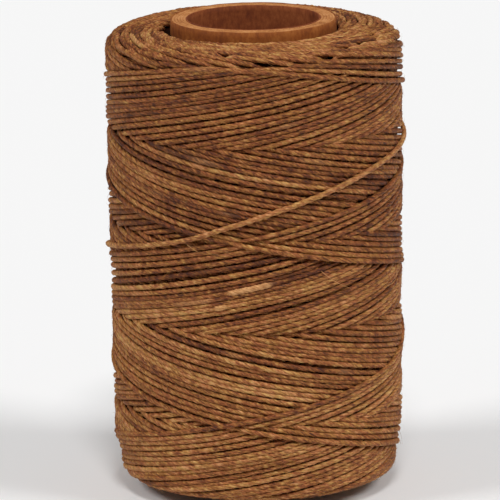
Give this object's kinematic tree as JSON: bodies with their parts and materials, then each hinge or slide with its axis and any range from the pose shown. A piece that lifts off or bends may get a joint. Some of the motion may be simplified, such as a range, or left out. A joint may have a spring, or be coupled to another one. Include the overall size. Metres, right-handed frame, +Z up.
{
  "type": "waxed thread spool",
  "caption": "Straight paperboard tube cross-wound with waxed linen thread, with rounded winding shoulders and a through bore that slips over a peg.",
  "frame": {"origin": "centre of the tube's lower end, on the surface that the spool stands on", "axes": "+Z up along the tube's bore, -Y towards the front, where the last turn of thread crosses"},
  "size_m": [0.0626, 0.0628, 0.098],
  "materials": {
    "kraft_paper": "matt reddish-brown kraft paper",
    "tube_board": "matt tan paperboard, cut edge",
    "waxed_thread": "plied linen thread with a thin coat of wax"
  },
  "bodies": {
    "root": {"core_liner": "kraft_paper", "core_ply_1": "tube_board", "core_ply_2": "tube_board", "core_ply_3": "tube_board", "core_ply_4": "tube_board", "core_ply_5": "tube_board", "core_wrap": "kraft_paper", "winding_layer_1": "waxed_thread", "winding_layer_2": "waxed_thread", "winding_layer_3": "waxed_thread", "winding_layer_4": "waxed_thread", "winding_layer_5": "waxed_thread", "winding_layer_6": "waxed_thread", "winding_layer_7": "waxed_thread", "last_turn": "waxed_thread"}
  },
  "joints": []
}
